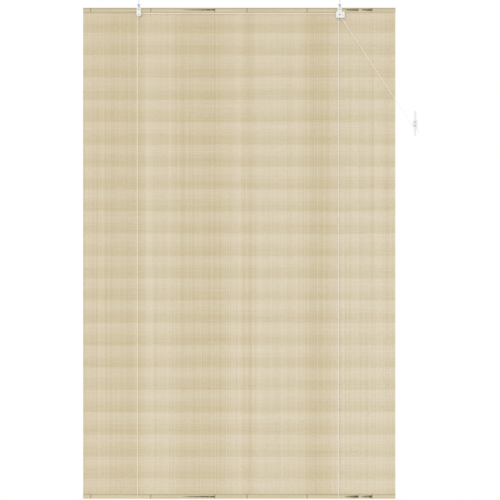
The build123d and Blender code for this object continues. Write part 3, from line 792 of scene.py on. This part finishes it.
def steelMaterial(name, dark, light, roughness, paintedShade=None):
    material, tree, shader = newMaterial(name, roughness, 1.0)
    point, _, _, z = objectPoint(tree)
    spangle = noise(tree, point, steelLook["spangleScale"], 3)
    brush = noise(tree, stretched(tree, point, steelLook["brushScale"]), 1, 2)
    base = mixColour(tree, spangle, dark, light)
    if paintedShade:
        # painted shade: below the hooks' cups the bent wire eye is painted darker
        shadedEye = calc(tree, "LESS_THAN", z, steelLook["shadeBelow"] * mm)
        shadedEye = calc(tree, "MULTIPLY", shadedEye, calc(tree, "ADD", steelLook["shadeFloor"], brush))
        base = mixColour(tree, shadedEye, base, paintedShade)
    tree.links.new(base, shader.inputs["Base Color"])
    spread = steelLook["roughSpread"]
    rough = calc(tree, "ADD", roughness - spread / 2, calc(tree, "MULTIPLY", brush, spread))
    tree.links.new(rough, shader.inputs["Roughness"])
    addBump(tree, shader, brush, steelLook["bump"])
    return material


whitePlastic = plasticMaterial("whiteHousing", colour(241, 242, 236), 0.42, 0.12)
whiteNylon = plasticMaterial("whiteNylon", colour(232, 232, 224), 0.35, 0.06)
cleatPlastic = plasticMaterial("cleatPlastic", colour(238, 239, 238), 0.34, 0.08)
# the last colour is the painted shade on the hooks' eyes below their cups
zinc = steelMaterial("zincPlate", colour(208, 218, 222), colour(240, 246, 247), 0.4, colour(128, 134, 142))
screwSteel = steelMaterial("screwSteel", colour(158, 166, 172), colour(204, 211, 216), 0.38)
stapleWire = steelMaterial("stapleWire", colour(140, 142, 144), colour(190, 191, 192), 0.4)

plainFinishes = {
    "left_pulley_wheel": whiteNylon, "right_pulley_wheel": whiteNylon, "lock_cam": whiteNylon,
    "batten_staples": stapleWire, "cord_staples": stapleWire,
}
for node, material in plainFinishes.items():
    cad[node].data.materials.clear()
    cad[node].data.materials.append(material)


# screw threads: a three-sided ridge wound round a core by the screw modifier

threadLook = {"steps": 12, "runOut": 0.72, "sides": 3}


def windRidge(name, root, height, pitch, turns, axis, start):
    deselectAll()
    bpy.ops.mesh.primitive_circle_add(vertices=threadLook["sides"], radius=height * mm, fill_type="NOTHING",
                                      rotation=(math.radians(90), math.radians(90), 0),
                                      location=(root * mm, 0, 0))
    ridge = nameActive(name)
    settle(ridge)
    useModifier(ridge, "SCREW", axis="Z", angle=2 * math.pi, screw_offset=pitch * mm, iterations=turns,
                steps=threadLook["steps"], render_steps=threadLook["steps"], use_merge_vertices=False)
    editMode(ridge, "EDGE")
    bpy.ops.mesh.select_all(action="SELECT")
    bpy.ops.mesh.fill_holes(sides=threadLook["sides"])
    # the last two turns run out towards the tip
    top = turns * pitch * mm
    for back in (2.0, 1.0):
        pick(ridge, "VERT", lambda corner: corner.co.z > top - back * pitch * mm)
        bpy.ops.transform.resize(value=(threadLook["runOut"], threadLook["runOut"], 1),
                                 center_override=(0, 0, top))
    deselectAll()
    if axis == 1:
        ridge.rotation_euler = (-math.radians(90), 0, 0)
    ridge.location = start
    settle(ridge)
    cleanNormals(ridge)
    return ridge


# ceiling hooks: a wood thread, a domed cup and a bent wire eye with a narrow mouth

hookLook = {
    "cup": [(0.5, 25.6), (1.1, 24.4), (1.75, 21.5), (1.75, 0), (9.2, 0), (9.5, -0.2), (9.5, -0.85),
            (9.2, -1.2), (8.2, -2.3), (6.7, -3.6), (4.9, -4.8), (3.5, -5.8), (2.8, -6.8), (2.6, -8),
            (2.6, -10.8), (2.2, -11.5), (1.4, -11.9)],
    "core": 1.75, "ridge": 0.45, "pitch": 1.8, "turns": 13, "threadStart": 1.2, "wire": 3.0, "eyeRadius": 6.0,
    "upperCentre": -17.7, "lowerCentre": -19.7, "mouthAngle": 142, "sides": 28, "smoothAngle": 35,
    "bendSteps": (10, 12, 9),
}
hookX, hookSpacing = -450, 900  # the left hook's place and the step to the right one


def makeHook():
    body = turn("hookBody", (hookX * mm, 0, 0), 2, hookLook["sides"], hookLook["cup"])
    ridge = windRidge("hookThread", hookLook["core"], hookLook["ridge"], hookLook["pitch"],
                      hookLook["turns"], 2, (hookX * mm, 0, hookLook["threadStart"] * mm))
    # from the top down the right side, round the bottom and up the left side to the mouth, in degrees
    downStep, roundStep, upStep = hookLook["bendSteps"]
    bend = [(angle, hookLook["upperCentre"]) for angle in range(90, -1, -downStep)]
    bend += [(angle, hookLook["lowerCentre"]) for angle in range(0, -181, -roundStep)]
    bend += [(angle, hookLook["upperCentre"]) for angle in range(180, hookLook["mouthAngle"] - 1, -upStep)]
    wire = []
    for angle, level in bend:
        turned = math.radians(angle)
        wire.append((hookX + hookLook["eyeRadius"] * math.cos(turned), 0,
                     level + hookLook["eyeRadius"] * math.sin(turned)))
    eye = layCord("hookEye", wire, diameter=hookLook["wire"])
    makeActive(eye)
    bpy.ops.object.convert(target="MESH")
    return joinAll("hook", [body, ridge, nameActive("hookEye")])


leftHook = makeHook()
rightHook = copyPiece(leftHook, (hookSpacing * mm, 0, 0))
hooks = joinAll("screwHooks", [leftHook, rightHook])
smoothByAngle(hooks, hookLook["smoothAngle"])
dress(hooks, zinc, "zinc_plate", "screw_hooks")


# screws: a low pan head with a cross recess, and a thread where one stands free

screwSides, screwSmoothAngle = 24, 35
hangerLook = {
    "rows": [(1.2, -1.6), (2.2, -1.5), (2.9, -1.15), (3.3, -0.6), (3.3, 0), (1.75, 0), (1.75, 17.5),
             (0.5, 21)],
    "seat": (hookX, -4.8, -22.4), "recess": (3.9, 0.85, 0.9),
}
cleatScrewLook = {
    "rows": [(1.1, -1.8), (2.1, -1.68), (2.8, -1.3), (3.2, -0.7), (3.2, 0), (1.5, 0), (1.5, 20.4),
             (1.42, 20.6), (1.42, 34.5), (0.4, 38.4)],
    "core": 1.42, "ridge": 0.4, "pitch": 1.5, "turns": 10, "threadStart": 20.3, "recess": (3.7, 0.85, 1.0),
}


def cutCross(piece, face, recess):
    # two crossed bars are cut out of the head's face
    length, width, depth = recess
    for size in ((length, 2 * depth, width), (width, 2 * depth, length)):
        cutAway(piece, addBox("recessBar", face, [part * mm for part in size]))


def makeHangerScrews():
    seat = Vector(hangerLook["seat"]) * mm
    face = seat + Vector((0, hangerLook["rows"][0][1] * mm, 0))
    left = turn("hangerScrew", seat, 1, screwSides, hangerLook["rows"])
    cutCross(left, face, hangerLook["recess"])
    right = copyPiece(left, (hookSpacing * mm, 0, 0))
    return joinAll("hangerScrews", [left, right])


def makeCleatScrews():
    low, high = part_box("cleat_screws")
    x = (low.x + high.x) / 2
    reach = max(radius for radius, _ in cleatScrewLook["rows"]) * mm
    headY = low.y - cleatScrewLook["rows"][0][1] * mm
    z = low.z + reach
    lower = turn("cleatScrew", (x, headY, z), 1, screwSides, cleatScrewLook["rows"])
    cutCross(lower, (x, low.y, z), cleatScrewLook["recess"])
    ridge = windRidge("cleatThread", cleatScrewLook["core"], cleatScrewLook["ridge"], cleatScrewLook["pitch"],
                      cleatScrewLook["turns"], 1, (x, headY + cleatScrewLook["threadStart"] * mm, z))
    lower = joinAll("cleatScrew", [lower, ridge])
    upper = copyPiece(lower, (0, 0, high.z - reach - z))
    return joinAll("cleatScrews", [lower, upper])


for screws, node in ((makeHangerScrews(), "hanger_screws"), (makeCleatScrews(), "cleat_screws")):
    smoothByAngle(screws, screwSmoothAngle)
    dress(screws, screwSteel, "screw_steel", node)
print("hooks and screws turned")


# pins: each is riveted over to a low head on the front cheek

rivetLook = {"left_axle_pin": ("leftRivet", 3.0), "right_axle_pin": ("rightRivet", 4.6),
             "cam_pivot_pin": ("camRivet", 2.4)}
rivetHead = [(0.7, 0), (0.92, 0.12), (1.0, 0.35), (1.0, 0.5)]  # shares of the head's radius, and levels
rivetTip = 0.2
for node, (name, headRadius) in rivetLook.items():
    low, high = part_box(node)
    radius = (high.x - low.x) / 2 / mm
    deep = (high.y - low.y) / mm
    rows = [(headRadius * share, level) for share, level in rivetHead]
    rows += [(radius, rivetHead[-1][1]), (radius, deep - rivetTip), (radius - rivetTip, deep)]
    rivet = turn(name, ((low.x + high.x) / 2, low.y, (low.z + high.z) / 2), 1, screwSides, rows)
    smoothByAngle(rivet, screwSmoothAngle)
    dress(rivet, screwSteel, "screw_steel", node)


# housings: the moulded shells, shaded smooth over their rounded edges

shellSmoothAngle = 50


def softShell(node, name):
    shell = copyNode(node, name)
    smoothByAngle(shell, shellSmoothAngle)
    useModifier(shell, "WEIGHTED_NORMAL", keep_sharp=True)
    return shell


dress(softShell("left_pulley_housing", "leftHousing"), whitePlastic, "white_plastic", "left_pulley_housing")
dress(softShell("right_lock_housing", "rightHousing"), whitePlastic, "white_plastic", "right_lock_housing")


# cleat: two rounded horns across a long pedestal

cleatLook = {
    "middle": (788.0, -533.0), "length": 112.0, "rootWidth": 10.5, "front": -0.3, "throat": 6.2,
    "levels": [(18, 0.96, 0.0, 0.0), (30, 0.9, -0.25, -0.9), (43, 0.83, -0.6, -1.9), (56, 0.76, -1.0, -3.0)],
    "tipRound": 3.7, "edge": 1.1, "pedestal": (7.0, 11.0, -535.0), "pedestalBack": 20.0, "pedestalFront": 4.5,
    "pedestalEdge": 0.6, "pedestalSides": 30, "tipSteps": 6, "edgeSteps": 3, "pedestalSteps": 2,
    "hornSharp": 50, "pedestalSharp": 60, "smoothAngle": 40,
}


def makeHorns():
    x, z = cleatLook["middle"]
    front, back = cleatLook["front"], cleatLook["throat"]
    near = meshLimits["near"]
    horns = addBox("cordCleat", (x * mm, (front + back) / 2 * mm, z * mm),
                   (cleatLook["rootWidth"] * mm, (back - front) * mm, cleatLook["length"] * mm))
    for level, widthShare, frontMove, backMove in cleatLook["levels"]:
        for side in (-1, 1):
            cut = (z + side * level) * mm
            editMode(horns, "VERT")
            bpy.ops.mesh.select_all(action="SELECT")
            if level < cleatLook["length"] / 2:
                bpy.ops.mesh.bisect(plane_co=(0, 0, cut), plane_no=(0, 0, 1))
            pick(horns, "VERT", lambda corner: abs(corner.co.z - cut) < near)
            bpy.ops.transform.resize(value=(widthShare, 1, 1), center_override=(x * mm, 0, cut))
            middleY = (front + back) / 2 * mm
            pick(horns, "VERT", lambda corner: abs(corner.co.z - cut) < near and corner.co.y < middleY)
            bpy.ops.transform.translate(value=(0, frontMove * mm, 0))
            pick(horns, "VERT", lambda corner: abs(corner.co.z - cut) < near and corner.co.y > middleY)
            bpy.ops.transform.translate(value=(0, backMove * mm, 0))
    end = cleatLook["length"] / 2 * mm
    pick(horns, "EDGE", lambda edge: all(abs(abs(corner.co.z - z * mm) - end) < near for corner in edge.verts)
         and abs(edge.verts[0].co.x - edge.verts[1].co.x) < near)
    bpy.ops.mesh.bevel(offset=cleatLook["tipRound"] * mm, segments=cleatLook["tipSteps"])
    editMode(horns, "EDGE")
    bpy.ops.mesh.select_all(action="DESELECT")
    bpy.ops.mesh.edges_select_sharp(sharpness=math.radians(cleatLook["hornSharp"]))
    bpy.ops.mesh.bevel(offset=cleatLook["edge"] * mm, segments=cleatLook["edgeSteps"])
    cleanNormals(horns)
    return horns


def makePedestal():
    x = cleatLook["middle"][0]
    radius, straight, z = cleatLook["pedestal"]
    back, front = cleatLook["pedestalBack"], cleatLook["pedestalFront"]
    deselectAll()
    bpy.ops.mesh.primitive_circle_add(vertices=cleatLook["pedestalSides"], radius=radius * mm,
                                      fill_type="NGON", location=(x * mm, back * mm, z * mm),
                                      rotation=(math.radians(90), 0, 0))
    pedestal = nameActive("cleatPedestal")
    settle(pedestal)
    for side in (-1, 1):
        pick(pedestal, "VERT", lambda corner: side * (corner.co.z - z * mm) > 0)
        bpy.ops.transform.translate(value=(0, 0, side * straight * mm))
    editMode(pedestal, "FACE")
    bpy.ops.mesh.select_all(action="SELECT")
    bpy.ops.mesh.extrude_region_move(TRANSFORM_OT_translate={"value": (0, (front - back) * mm, 0)})
    editMode(pedestal, "EDGE")
    bpy.ops.mesh.select_all(action="DESELECT")
    bpy.ops.mesh.edges_select_sharp(sharpness=math.radians(cleatLook["pedestalSharp"]))
    bpy.ops.mesh.bevel(offset=cleatLook["pedestalEdge"] * mm, segments=cleatLook["pedestalSteps"])
    cleanNormals(pedestal)
    return pedestal


cleat = joinAll("cordCleat", [makeHorns(), makePedestal()])
smoothByAngle(cleat, cleatLook["smoothAngle"])
dress(cleat, cleatPlastic, "cleat_plastic", "cord_cleat")
print("housings and cleat moulded")
